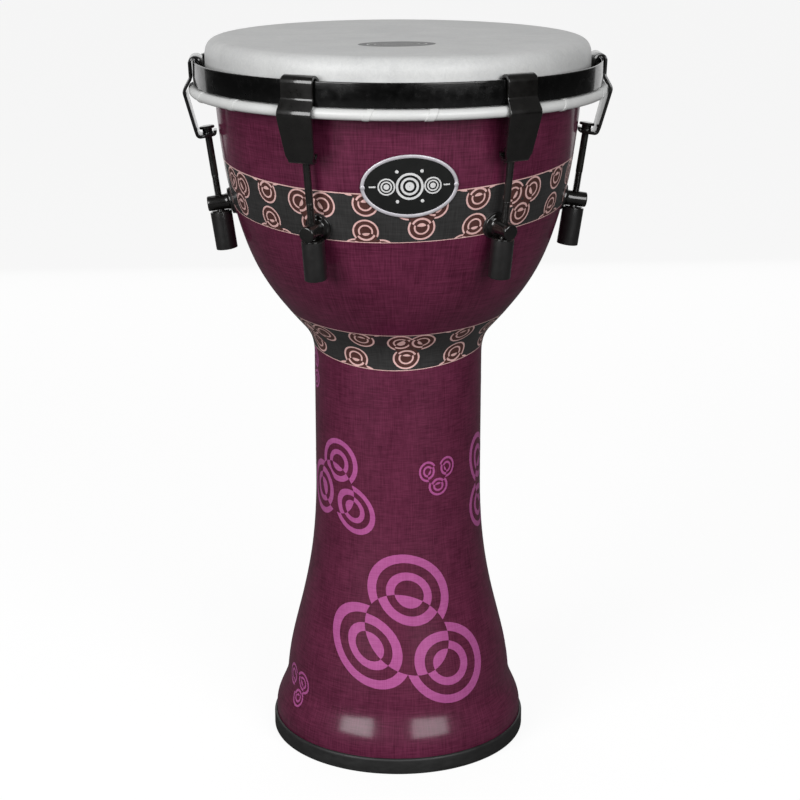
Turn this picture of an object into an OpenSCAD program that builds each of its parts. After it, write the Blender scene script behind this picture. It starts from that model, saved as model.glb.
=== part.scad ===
// Djembe with a synthetic shell and a rod-tuned head, standing on its rubber foot ring.
// Z is the drum's axis, the floor is z = 0, and the badge faces -Y.

/* [Shell] */
// Radius of the foot band
foot_r = 106.9; // [103:0.1:110]
// Radius of the stem at its waist
waist_r = 70.1; // [67:0.1:73]
// Radius of the shell under the head
rim_r = 150.1; // [149.8:0.1:150.4]
// Wall thickness of the moulded shell
wall = 5; // [4:0.5:6]

/* [Foot ring] */
// Outer radius of the rubber ring
ring_r = 109.2; // [108.6:0.1:111]
// Height of the rubber ring
ring_h = 14; // [12:0.5:18]

/* [Head and hoops] */
// Height of the playing face above the floor
head_z = 600; // [600:0.1:600.6]
// Radius of the head's collar
collar_r = 155.5; // [155.2:0.1:155.6]
// Thickness of the head film
film = 0.8; // [0.5:0.1:0.8]
// Radius of the circle that the flesh hoop's centre line follows
hoop_r = 164.8; // [164.6:0.1:165]
// Radius of the wrapped flesh hoop's round section
tube_r = 4.75; // [4.4:0.05:4.8]
// Radius of the steel core inside the wrap
core_r = 3.55; // [3:0.05:3.8]
// Outer radius of the counter hoop
band_r = 165.2; // [165:0.1:165.4]
// Thickness of the counter hoop
band_t = 1.8; // [1.5:0.1:2]
// Height of the counter hoop
band_h = 18.8; // [17:0.1:19]

/* [Claws] */
// Thickness of the claw's steel strap
strap = 2.6; // [2:0.1:2.6]
// Width of the claw at the hook
hook_w = 27; // [24:0.5:29]
// Width of the claw where it bulges over the flesh hoop
bulge_w = 29; // [27:0.5:31]
// Width of the claw at its lower end
toe_w = 21; // [18:0.5:23]

/* [Tension rods] */
// Radius at which the rods cross the lugs
lug_r = 146.5; // [146.3:0.1:146.8]
// Height at which the rods cross the lugs
lug_z = 466.3; // [466:0.1:467]
// Lean of the rods away from the drum's axis, in degrees
lean = 8; // [7.8:0.1:8.2]
// Radius of the plain shank
shank_r = 2.9; // [2.6:0.05:2.9]
// Radius of the threaded length
thread_r = 2.95; // [2.9:0.05:2.95]
// Pitch of the thread
pitch = 1; // [0.75:0.25:1]
// Turns from the tuned head to the slack head
turns = 6; // [4:1:6]

/* [Lugs and nuts] */
// Radius of the lug's barrel
barrel_r = 6.2; // [5.8:0.1:6.3]
// Radius of the lug's base
base_r = 10.7; // [10:0.1:11]
// Length of the tuning nut
nut_l = 31.2; // [28:0.1:34]
// Radius of the nut's cover at the top
nut_top_r = 8.9; // [8.5:0.1:9]
// Radius of the nut's cover at the bottom
nut_end_r = 8.8; // [8.2:0.1:9]

/* [Badge] */
// Width of the oval badge
badge_w = 74; // [60:1:80]
// Height of the oval badge
badge_h = 49; // [40:1:54]
// Height of the badge's centre above the floor
badge_z = 503; // [500:1:506]
// How far the badge is turned anticlockwise as it is fixed, in degrees
badge_turn = 1.7; // [0:0.1:2]

/* [Hidden] */
$fn = 96;
LUGS = 6;

shell_base = 4;
band_bottom = 563.9;
tube_z = band_bottom - tube_r - 0.05;
gasket = 1;
flange = 2;
lug_reach = 9.8;
screw_r = 2.5;
cross_bore = thread_r + 0.1;
nut_gap = 0.3;
nut_top = -barrel_r - nut_gap - 0.8;
// The claw's hook, and its flange where the rod's head pulls on it
hook_top = 586.4;
flange_mid = 56.3;
rod_head = flange_mid + strap / 2 + 1.1;
rod_head_r = 6.2;
rod_washer_r = 4.3;
// Height and slope of the shell where a lug's base sits on it, its radius there,
// and the way along the barrel from there to the rod
base_z = 468;
base_tilt = 15;
base_shell_r = 135.2;
lug_seat = 11.4;
rod_x = sin(lean);
rod_z = cos(lean);
// How far a rod's head moves outward in its claw while the head comes up by the full travel
travel_out = turns * pitch * sin(lean) + 0.1;
// Place and slope of the shell under the badge's two rivets
rivet_shell_r = 142.45;
rivet_tilt = 8.8;
rivet_turn = asin((badge_w / 2 - 1.9) / (rivet_shell_r + 1));
rivet_rise = (badge_w / 2 - 1.9) * sin(badge_turn);

// --- curves -------------------------------------------------------------------------------

function bez(p, t) = pow(1 - t, 3) * p[0] + 3 * t * pow(1 - t, 2) * p[1]
    + 3 * t * t * (1 - t) * p[2] + pow(t, 3) * p[3];
function bez_dir(p, t) = pow(1 - t, 2) * (p[1] - p[0]) + 2 * t * (1 - t) * (p[2] - p[1])
    + t * t * (p[3] - p[2]);

// A point of curve p at t, moved out from the wall by off
function wall_point(p, t, off) = let (d = bez_dir(p, t), n = norm(d))
    bez(p, t) + off / n * [d[1], -d[0]];

// The shell's outer line, from the foot up: [radius, height] control points
foot_curve = [[foot_r, 20], [foot_r, 33], [97, 42], [96.3, 56]];
flare_curve = [[96.3, 56], [91.9, 105], [waist_r, 134], [waist_r, 232]];
stem_curve = [[waist_r, 232], [waist_r, 270], [waist_r, 300], [waist_r, 336]];
neck_curve = [[waist_r, 336], [waist_r, 349], [71.6, 356.1], [79.6, 365]];
bowl_curve = [[79.6, 365], [113.7, 402.5], [123, 421.8], [135.8, 470]];
side_curve = [[135.8, 470], [144.8, 503.9], [148.1, 550.4], [rim_r, 580]];
curves = [foot_curve, flare_curve, stem_curve, neck_curve, bowl_curve, side_curve];
steps = [6, 12, 2, 7, 10, 9];

function shell_line(off) = concat(
    [for (c = [0:len(curves) - 1]) for (i = [0:steps[c] - 1])
        wall_point(curves[c], i / steps[c], off)],
    [[rim_r + off, 580]]
);
function reversed(list) = [for (i = [len(list) - 1:-1:0]) list[i]];
function arc_of(p, n) = [for (i = [0:n]) bez(p, i / n)];

// Corner b of a strip's centre line, rounded to radius r
function rounded(a, b, c, r, n = 7) = let (
    u = (a - b) / norm(a - b), v = (c - b) / norm(c - b),
    half = acos(u * v) / 2,
    start = b + u * r / tan(half), end = b + v * r / tan(half),
    centre = b + (u + v) / norm(u + v) * r / sin(half),
    p = start - centre, q = end - centre, sweep = acos(p * q / (r * r)))
    [for (i = [0:n]) centre + (sin(sweep * (1 - i / n)) * p + sin(sweep * i / n) * q) / sin(sweep)];

// Both sides of a strip of thickness t along a centre line
function strip(line, t) = let (
    last = len(line) - 1,
    side = [for (i = [0:last]) let (
        d = line[min(i + 1, last)] - line[max(i - 1, 0)])
        t / 2 / norm(d) * [-d[1], d[0]]])
    concat([for (i = [0:last]) line[i] + side[i]],
        [for (i = [last:-1:0]) line[i] - side[i]]);

// --- placing ------------------------------------------------------------------------------

// Lugs 1 and 2 are the front pair, and the numbers go round anticlockwise from above
module at_lug(i) rotate(180 + 60 * i) children();

// Local +Z runs up the rod from where it crosses the lug, and local +X points out of the drum
module on_rod(i) at_lug(i) translate([lug_r, 0, lug_z]) rotate([0, lean, 0]) children();

// Local +Z runs out along the lug's barrel from the rod's crossing
module on_barrel(i) on_rod(i) rotate([0, 90, 0]) children();

// --- shell --------------------------------------------------------------------------------

// A layer that follows the shell's outside from off_a to off_b above it
module shell_layer(off_a, off_b) rotate_extrude()
    polygon(concat(shell_line(off_a), reversed(shell_line(off_b))));

module shell_section() {
    edge_z = head_z - film - 0.5;
    outside = concat(
        [[foot_r - wall, shell_base], [foot_r, shell_base]],
        shell_line(0),
        arc_of([[rim_r, 586], [rim_r, 594], [148.5, edge_z], [144.5, edge_z]], 8),
        arc_of([[143.5, edge_z], [141, edge_z], [140, 597.5], [140, 595]], 4)
    );
    inside = [for (p = shell_line(-wall)) if (p[1] < 562) p];
    polygon(concat(outside, [[140, 577]], reversed(inside)));
}

module shell() color("#5e2f43") difference() {
    rotate_extrude() shell_section();
    for (i = [1:LUGS]) on_barrel(i)
        translate([0, 0, -25]) cylinder(r = screw_r + 0.2, h = 20);
    on_rivets() translate([0, 0, -8]) cylinder(r = 1.2, h = 10);
}

module foot_ring() color("#1e1e1e") rotate_extrude() polygon(concat(
    [[foot_r - wall - 2.5, 0], [ring_r - 0.8, 0], [ring_r, 1]],
    arc_of([[ring_r, ring_h - 2.5], [ring_r, ring_h - 0.8],
        [ring_r - 0.8, ring_h], [foot_r + 0.4, ring_h]], 5),
    [[foot_r, ring_h - 1], [foot_r, shell_base], [foot_r - wall, shell_base]],
    [[foot_r - wall, 12], [foot_r - wall - 1.7, 12], [foot_r - wall - 2.5, 10]]
));

// --- lugs ---------------------------------------------------------------------------------

// A round pad of radius r square to the shell, from inside the wall out to h above it
module base_pad(i, r, h) at_lug(i) translate([base_shell_r, 0, base_z])
    rotate([0, 90 + base_tilt, 0]) translate([0, 0, -6]) cylinder(r = r, h = h + 6);

module lug_post(i) color("#15130f") difference() {
    union() {
        difference() {
            union() {
                base_pad(i, base_r, gasket + flange);
                on_barrel(i) translate([0, 0, -lug_seat - 3]) cylinder(r = barrel_r, h = lug_seat + 3);
                on_barrel(i) translate([0, 0, -lug_seat + 1.8]) cylinder(r1 = 8, r2 = barrel_r, h = 1.5);
            }
            rotate_extrude() polygon(concat([[0, 400]],
                [for (p = shell_line(gasket)) if (p[1] > 400 && p[1] < 540) p], [[0, 540]]));
        }
        on_barrel(i) cylinder(r = barrel_r, h = lug_reach - 0.8);
        on_barrel(i) translate([0, 0, lug_reach - 0.8]) cylinder(r1 = barrel_r, r2 = barrel_r - 0.8, h = 0.8);
    }
    on_rod(i) translate([0, 0, -10]) cylinder(r = cross_bore, h = 20);
    on_barrel(i) translate([0, 0, -16]) cylinder(r = screw_r + 0.05, h = 12);
}

module lug_gaskets() color("#262626") for (i = [1:LUGS]) difference() {
    intersection() {
        base_pad(i, base_r + 0.5, 4);
        shell_layer(0, gasket);
    }
    on_barrel(i) translate([0, 0, -20]) cylinder(r = screw_r + 0.2, h = 20);
}

module lug_backing_washers() color("#b9b9b4") for (i = [1:LUGS]) difference() {
    intersection() {
        at_lug(i) translate([base_shell_r, 0, base_z]) rotate([0, 90 + base_tilt, 0])
            translate([0, 0, -12]) cylinder(r = 9, h = 12);
        shell_layer(-wall - 1.6, -wall);
    }
    on_barrel(i) translate([0, 0, -24]) cylinder(r = screw_r + 0.2, h = 20);
}

// Pan-head screws from inside the bowl; their heads bear on the backing washers
module lug_screws() color("#b9b9b4") for (i = [1:LUGS]) on_barrel(i) {
    difference() {
        translate([0, 0, -lug_seat - 10.2]) cylinder(r = 4.6, h = 2.8);
        translate([0, 0, -lug_seat - 10.8]) cylinder(r = 2.3, h = 2, $fn = 6);
    }
    translate([0, 0, -lug_seat - 7.5]) cylinder(r = screw_r, h = lug_seat + 3.2);
}

// --- badge --------------------------------------------------------------------------------

// A prism with an oval section, reaching through the front of the bowl
module badge_prism(w, h) translate([0, 0, badge_z]) rotate([90, 0, 0]) rotate(badge_turn)
    linear_extrude(180) polygon([for (a = [0:6:354]) [w / 2 * cos(a), h / 2 * sin(a)]]);

// Local +Z points out of the shell, from its surface, at each end of the badge
module on_rivets() for (side = [-1, 1]) rotate(side * rivet_turn - 90)
    translate([rivet_shell_r + side * rivet_rise * tan(rivet_tilt), 0, badge_z + side * rivet_rise])
    rotate([0, 90 + rivet_tilt, 0]) children();

module badge_plate() color("#242625") difference() {
    intersection() {
        badge_prism(badge_w - 1, badge_h - 1);
        shell_layer(0, 1.2);
    }
    on_rivets() translate([0, 0, -1]) cylinder(r = 1.15, h = 4);
}

module badge_rim() color("#b6b6b6") difference() {
    intersection() {
        badge_prism(badge_w, badge_h);
        shell_layer(1.2, 2);
    }
    badge_prism(badge_w - 5.4, badge_h - 5.4);
    on_rivets() cylinder(r = 1.15, h = 4);
}

// Tubular rivets through the rim, the plate and the shell, turned over inside
module badge_rivets() color("#b6b6b6") on_rivets() {
    translate([0, 0, -6.1]) cylinder(r = 1.8, h = 0.9);
    translate([0, 0, -5.2]) cylinder(r = 1.05, h = 7.25);
    translate([0, 0, 2.05]) cylinder(r1 = 1.9, r2 = 1.2, h = 0.8);
}

// --- head and hoops -----------------------------------------------------------------------

module drumhead_skin() color("#cfcfcd") rotate_extrude() {
    shoulder = [[collar_r, 586], [collar_r, 595.3], [151.8, head_z], [142, head_z]];
    flare = [[collar_r, 572], [collar_r, 566],
        [hoop_r - tube_r - film / 2, 565.5], [hoop_r - tube_r, tube_z]];
    outside = concat(reversed(arc_of(shoulder, 9)), arc_of(flare, 6));
    inside = [for (i = [0:len(outside) - 1]) let (
        d = outside[min(i + 1, len(outside) - 1)] - outside[max(i - 1, 0)])
        i == 0 ? outside[0] - [0, film] : outside[i] + film / norm(d) * [d[1], -d[0]]];
    polygon(concat([[0, head_z - film], [0, head_z]], outside, reversed(inside)));
}

module hoop_wrap() color("#d6d7d4") rotate_extrude() translate([hoop_r, tube_z]) difference() {
    circle(r = tube_r);
    circle(r = core_r);
}

module flesh_hoop() color("#9a9a96") rotate_extrude() translate([hoop_r, tube_z]) circle(r = core_r);

module counter_hoop() color("#15130f") rotate_extrude() translate([band_r - band_t, band_bottom]) {
    square([band_t, band_h - band_t / 2]);
    translate([band_t / 2, band_h - band_t / 2]) circle(d = band_t);
}

// --- claws --------------------------------------------------------------------------------

toe = [162.2, 521];
slope = [-rod_z, rod_x];
lip = toe + slope * (toe[0] - 148.2) / rod_z;
claw_corners = [
    [157.8, 574], [157.8, hook_top - strap / 2], [167.4, hook_top - strap / 2],
    [166.7, 568.5], [172.4, 558.6], toe, lip, lip + 3.2 * [rod_x, rod_z]
];
claw_bends = [0, 4.7, 4.3, 5, 6, 2.8, 1.8, 0];
claw_line = [for (i = [0:len(claw_corners) - 1]) each
    claw_bends[i] == 0 ? [claw_corners[i]]
    : rounded(claw_corners[i - 1], claw_corners[i], claw_corners[i + 1], claw_bends[i])];

// The claw's outline seen from outside the drum: [half width, height]
claw_half = [
    [hook_w / 2 - 3, 600], [hook_w / 2 - 3, 586.6], [hook_w / 2 - 1, 585.6], [hook_w / 2, 583],
    [hook_w / 2, 570], [bulge_w / 2, 560], [bulge_w / 2, 552],
    [toe_w / 2 + 1.6, 526], [toe_w / 2, 524.4], [toe_w / 2, 510]
];

module claw(i) color("#15130f") difference() {
    intersection() {
        at_lug(i) rotate([90, 0, 0]) translate([0, 0, -20]) linear_extrude(40)
            polygon(strip(claw_line, strap));
        at_lug(i) translate([140, 0, 0]) rotate([90, 0, 90]) linear_extrude(40)
            polygon(concat(claw_half, [for (p = reversed(claw_half)) [-p[0], p[1]]]));
    }
    for (side = [-1, 1]) at_lug(i) translate([0, 0, 510]) linear_extrude(25)
        polygon([[143, 3.4 * side], [157.6, 10.7 * side], [157.6, 20 * side], [143, 20 * side]]);
    for (shift = [0, travel_out]) on_rod(i) translate([shift, 0, flange_mid - 3]) cylinder(r = 3.3, h = 6);
    on_rod(i) translate([0, -3.3, flange_mid - 3]) cube([travel_out, 6.6, 6]);
}

// --- rods and nuts ------------------------------------------------------------------------

module tension_rod(i) color("#15130f") on_rod(i) {
    translate([0, 0, -32]) cylinder(r1 = thread_r - 0.6, r2 = thread_r, h = 0.8);
    translate([0, 0, -31.2]) cylinder(r = thread_r, h = 54.2);
    translate([0, 0, 23]) cylinder(r1 = thread_r, r2 = shank_r, h = 1);
    translate([0, 0, 24]) cylinder(r = shank_r, h = rod_head - 24);
    translate([0, 0, rod_head]) cylinder(r = rod_washer_r - 0.3, h = 2.7);
    translate([0, 0, rod_head + 2.7]) cylinder(r = rod_head_r, h = 1.5);
    translate([0, 0, rod_head + 4.2]) cylinder(r1 = rod_head_r, r2 = rod_head_r - 1.2, h = 0.7);
}

module rod_washer(i) color("#2a2a28") on_rod(i) translate([0, 0, rod_head - 1]) difference() {
    cylinder(r = rod_washer_r, h = 1);
    translate([0, 0, -1]) cylinder(r = shank_r + 0.1, h = 3);
}

module tuning_nut(i) color("#8d8d89") on_rod(i) difference() {
    union() {
        translate([0, 0, nut_top - 1.2]) cylinder(r = 6.6, h = 1.2);
        translate([0, 0, nut_top - nut_l + 3]) cylinder(r = 5.5, h = nut_l - 3.5);
    }
    translate([0, 0, nut_top - nut_l]) cylinder(r = thread_r + 0.05, h = nut_l + 1);
}

module nut_sleeve(i) color("#191918") on_rod(i) difference() {
    union() {
        translate([0, 0, nut_top - nut_l]) cylinder(r1 = nut_end_r - 0.3, r2 = nut_end_r, h = 0.3);
        translate([0, 0, nut_top - nut_l + 0.3]) cylinder(r1 = nut_end_r, r2 = nut_top_r, h = nut_l - 0.7);
        translate([0, 0, nut_top - 0.4]) cylinder(r1 = nut_top_r, r2 = nut_top_r - 0.4, h = 0.4);
    }
    translate([0, 0, nut_top - nut_l - 1]) cylinder(r = 5.5, h = nut_l + 2);
    translate([0, 0, nut_top - 1.2]) cylinder(r = 6.6, h = 2);
}

module nut_washer(i) color("#2a2a28") on_rod(i) translate([0, 0, nut_top]) difference() {
    cylinder(r = 7, h = 0.8);
    translate([0, 0, -1]) cylinder(r = thread_r + 0.15, h = 3);
}

// --- output -------------------------------------------------------------------------------

shell();
foot_ring();
lug_gaskets();
lug_screws();
lug_backing_washers();
badge_plate();
badge_rim();
badge_rivets();
drumhead_skin();
hoop_wrap();
flesh_hoop();
counter_hoop();
for (i = [1:LUGS]) {
    lug_post(i);
    claw(i);
    tension_rod(i);
    rod_washer(i);
    tuning_nut(i);
    nut_sleeve(i);
    nut_washer(i);
}
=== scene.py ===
"""Looks for the djembe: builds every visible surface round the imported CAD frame.

Lengths in the tables below are millimetres, and each mesh is scaled to metres as it is made.
Azimuths are degrees from the badge (-Y) towards +X. s is the length of the shell's outline up from z = 20.
"""

import math

import bmesh
import bpy
import numpy as np
from mathutils import Matrix, Vector
from mathutils.geometry import delaunay_2d_cdt


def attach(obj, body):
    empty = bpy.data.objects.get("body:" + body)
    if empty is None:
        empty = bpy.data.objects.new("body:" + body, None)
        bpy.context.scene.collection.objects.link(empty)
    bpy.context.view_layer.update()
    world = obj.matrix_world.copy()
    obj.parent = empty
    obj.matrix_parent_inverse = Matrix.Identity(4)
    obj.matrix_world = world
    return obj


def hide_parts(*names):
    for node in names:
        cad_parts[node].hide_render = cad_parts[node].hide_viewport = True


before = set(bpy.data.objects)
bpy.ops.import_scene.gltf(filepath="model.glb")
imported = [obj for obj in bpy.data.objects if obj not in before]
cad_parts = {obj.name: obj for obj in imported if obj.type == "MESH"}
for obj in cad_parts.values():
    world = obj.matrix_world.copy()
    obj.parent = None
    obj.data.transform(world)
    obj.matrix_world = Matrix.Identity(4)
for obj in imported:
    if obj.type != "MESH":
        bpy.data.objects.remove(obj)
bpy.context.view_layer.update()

MM = 0.001
TAU = 2 * math.pi
LUGS = range(1, 7)

# --- sizes, as in the CAD source ---------------------------------------------------------------

WALL = 5.0
HEAD_Z = 600.0
FILM = 0.8
HOOP_R, TUBE_R, TUBE_Z = 164.8, 4.75, 559.1
BAND_R, BAND_T, BAND_H, BAND_Z = 165.2, 1.8, 18.8, 563.9
LUG_R, LUG_Z, LEAN = 146.5, 466.3, math.radians(8)
STRAP = 2.6
RIM_R = 150.1
BADGE_W, BADGE_H, BADGE_Z, BADGE_TURN = 74.0, 49.0, 503.0, math.radians(1.7)
NUT_TOP, NUT_L = -7.3, 31.2
ROD_HEAD, SHANK = 58.7, 2.9

SHELL_CURVES = [
    [(106.9, 20), (106.9, 33), (97, 42), (96.3, 56)],
    [(96.3, 56), (91.9, 105), (70.1, 134), (70.1, 232)],
    [(70.1, 232), (70.1, 270), (70.1, 300), (70.1, 336)],
    [(70.1, 336), (70.1, 349), (71.6, 356.1), (79.6, 365)],
    [(79.6, 365), (113.7, 402.5), (123, 421.8), (135.8, 470)],
    [(135.8, 470), (144.8, 503.9), (148.1, 550.4), (150.1, 580)],
]


def bezier(p, n, last=True):
    """n steps along a cubic curve of four control points."""
    t = np.linspace(0, 1, n + 1)[:, None]
    p = np.array(p, float)
    q = (1 - t) ** 3 * p[0] + 3 * t * (1 - t) ** 2 * p[1] + 3 * t * t * (1 - t) * p[2] + t ** 3 * p[3]
    return q if last else q[:-1]


# The shell's outline, sampled finely for looking up places on it
_line = np.vstack([bezier(c, 80, False) for c in SHELL_CURVES] + [[(RIM_R, 580)]])
_s = np.concatenate([[0], np.cumsum(np.hypot(*np.diff(_line, axis=0).T))])
_t = np.gradient(_line, _s, axis=0)
_t /= np.linalg.norm(_t, axis=1)[:, None]


def outline(s):
    """(radius, height, outward normal's radial part, its vertical part) of the shell at length s."""
    r, z = np.interp(s, _s, _line[:, 0]), np.interp(s, _s, _line[:, 1])
    tr, tz = np.interp(s, _s, _t[:, 0]), np.interp(s, _s, _t[:, 1])
    return r, z, tz, -tr


def on_shell(theta, s, height):
    """Places height above the shell at azimuth theta (radians) and length s, and the normals there."""
    r, z, nr, nz = outline(s)
    rr, zz = r + nr * height, z + nz * height
    co = np.stack([rr * np.sin(theta), -rr * np.cos(theta), zz], -1)
    no = np.stack([nr * np.sin(theta), -nr * np.cos(theta), nz], -1)
    return co, no


# --- mesh helpers --------------------------------------------------------------------------------

def add_piece(name, verts, faces, materials, body, replaces=(), normals=None, sharp=40, face_mats=None):
    """A mesh in millimetres becomes a piece that rides on a body."""
    mesh = bpy.data.meshes.new(name)
    mesh.from_pydata([tuple(float(x) * MM for x in v) for v in verts], [], faces)
    for m in materials if isinstance(materials, (list, tuple)) else [materials]:
        mesh.materials.append(m)
    if face_mats is not None:
        mesh.polygons.foreach_set("material_index", face_mats)
    mesh.validate()
    mesh.polygons.foreach_set("use_smooth", [True] * len(mesh.polygons))
    if normals is not None:
        mesh.normals_split_custom_set_from_vertices([tuple(n) for n in normals])
    else:
        mesh.set_sharp_from_angle(angle=math.radians(sharp))
    mesh.update()
    obj = bpy.data.objects.new(name, mesh)
    bpy.context.scene.collection.objects.link(obj)
    if replaces:
        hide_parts(*replaces)
    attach(obj, body)
    return obj


def lathe(profile, n):
    """A closed outline of (radius, height) turned round Z. Points on the axis become one vertex."""
    verts, rings = [], []
    for r, z in profile:
        if r < 1e-6:
            rings.append([len(verts)] * n)
            verts.append((0, 0, z))
        else:
            rings.append(list(range(len(verts), len(verts) + n)))
            verts += [(r * math.cos(TAU * i / n), r * math.sin(TAU * i / n), z) for i in range(n)]
    faces = []
    for a, b in zip(rings, rings[1:] + rings[:1]):
        if a[0] == a[1] and b[0] == b[1]:
            continue
        for i in range(n):
            j = (i + 1) % n
            faces.append(list(dict.fromkeys((a[i], a[j], b[j], b[i]))))
    return np.array(verts, float), faces


def quads(rows, n, closed=False):
    """Faces between rows of n points, each row a ring. closed joins the last row to the first."""
    return [[i * n + j, i * n + (j + 1) % n, (i + 1) % rows * n + (j + 1) % n, (i + 1) % rows * n + j]
            for i in range(rows if closed else rows - 1) for j in range(n)]


def tube(rows, n):
    """The faces of a tube of rows of n points, with both ends closed."""
    return quads(rows, n) + [list(range(n))[::-1], list(range((rows - 1) * n, rows * n))]


def arc(cr, cz, r, a0, a1, n):
    """Points on an arc, angles in degrees from the radial direction."""
    return [(cr + r * math.cos(math.radians(a0 + (a1 - a0) * i / n)),
             cz + r * math.sin(math.radians(a0 + (a1 - a0) * i / n))) for i in range(n + 1)]


def rounded_line(points, bends, n=8):
    """A line of corners with each bend rounded to its radius."""
    out = []
    for i, (p, r) in enumerate(zip(points, bends)):
        p = np.array(p, float)
        if r == 0:
            out.append(p)
            continue
        a, c = np.array(points[i - 1], float), np.array(points[i + 1], float)
        u, v = (a - p) / np.linalg.norm(a - p), (c - p) / np.linalg.norm(c - p)
        half = math.acos(float(u @ v)) / 2
        start, end = p + u * r / math.tan(half), p + v * r / math.tan(half)
        centre = p + (u + v) / np.linalg.norm(u + v) * r / math.sin(half)
        f, g = start - centre, end - centre
        sweep = math.acos(float(f @ g) / r ** 2)
        for k in range(n + 1):
            t = k / n
            out.append(centre + (math.sin(sweep * (1 - t)) * f + math.sin(sweep * t) * g) / math.sin(sweep))
    return np.array(out)


ROD_IN_LUG = Matrix.Translation((LUG_R, 0, LUG_Z)) @ Matrix.Rotation(LEAN, 4, "Y")


def lug_matrix(i):
    """Local +X points out of the drum through lug i."""
    return Matrix.Rotation(math.radians(180 + 60 * i), 4, "Z")


def rod_matrix(i):
    """Local +Z runs up rod i from where it crosses the lug."""
    return lug_matrix(i) @ ROD_IN_LUG


def moved(verts, matrix):
    m = np.array(matrix, float)
    return np.asarray(verts, float) @ m[:3, :3].T + m[:3, 3]


def cut(verts, faces, cutter):
    """verts and faces with a closed cutter mesh taken away."""
    objs = []
    for v, f in ((verts, faces), cutter):
        mesh = bpy.data.meshes.new("cut")
        mesh.from_pydata([tuple(float(x) for x in p) for p in v], [], f)
        bm = bmesh.new()
        bm.from_mesh(mesh)
        bmesh.ops.recalc_face_normals(bm, faces=bm.faces)
        bm.to_mesh(mesh)
        bm.free()
        obj = bpy.data.objects.new("cut", mesh)
        bpy.context.scene.collection.objects.link(obj)
        objs.append(obj)
    mod = objs[0].modifiers.new("cut", "BOOLEAN")
    mod.operation, mod.solver, mod.object = "DIFFERENCE", "EXACT", objs[1]
    done = objs[0].evaluated_get(bpy.context.evaluated_depsgraph_get()).to_mesh()
    out = ([v.co[:] for v in done.vertices], [list(p.vertices) for p in done.polygons])
    for o in objs:
        mesh = o.data
        bpy.data.objects.remove(o)
        bpy.data.meshes.remove(mesh)
    return np.array(out[0]), out[1]


# --- materials ---------------------------------------------------------------------------------

class Nodes:
    """Builds one material's nodes."""

    def __init__(self, name):
        self.material = bpy.data.materials.new(name)
        self.material.use_nodes = True
        self.tree = self.material.node_tree
        self.shader = self.tree.nodes["Principled BSDF"]

    def node(self, kind, **props):
        n = self.tree.nodes.new(kind)
        for k, v in props.items():
            setattr(n, k, v)
        return n

    def link(self, a, b):
        self.tree.links.new(a, b)

    def value(self, sock, x):
        """x goes into a socket, as a link if it is another node's output."""
        if isinstance(x, bpy.types.NodeSocket):
            self.link(x, sock)
        else:
            sock.default_value = x

    def math(self, op, a, b):
        n = self.node("ShaderNodeMath", operation=op)
        self.value(n.inputs[0], a)
        self.value(n.inputs[1], b)
        return n.outputs[0]

    def place(self):
        return self.node("ShaderNodeTexCoord").outputs["Object"]

    def stretched(self, vector, scale):
        n = self.node("ShaderNodeMapping")
        n.inputs["Scale"].default_value = scale
        self.link(vector, n.inputs["Vector"])
        return n.outputs[0]

    def noise(self, vector, scale, detail=2.0, rough=0.5, distort=0.0):
        n = self.node("ShaderNodeTexNoise")
        n.inputs["Scale"].default_value = scale
        n.inputs["Detail"].default_value = detail
        n.inputs["Roughness"].default_value = rough
        n.inputs["Distortion"].default_value = distort
        self.link(vector, n.inputs["Vector"])
        return n.outputs["Fac"]

    def ramp(self, fac, stops):
        n = self.node("ShaderNodeValToRGB")
        els = n.color_ramp.elements
        while len(els) < len(stops):
            els.new(0.5)
        for e, (pos, col) in zip(els, stops):
            e.position, e.color = pos, (*col, 1)
        self.link(fac, n.inputs["Fac"])
        return n.outputs["Color"]

    def bump(self, height, distance, strength):
        n = self.node("ShaderNodeBump")
        n.inputs["Distance"].default_value = distance
        n.inputs["Strength"].default_value = strength
        self.link(height, n.inputs["Height"])
        return n.outputs["Normal"]

    def set(self, **values):
        """Sockets by name, with _ for a space."""
        for k, v in values.items():
            self.value(self.shader.inputs[k.replace("_", " ")], v)
        return self.material


def shaded(m, colour, amount, fac):
    """colour made darker and lighter by amount either way as fac goes from 0 to 1."""
    dark, light = [c * (1 - amount) for c in colour], [c * (1 + amount) for c in colour]
    return m.ramp(fac, [(0.25, dark), (0.75, light)])


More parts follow.
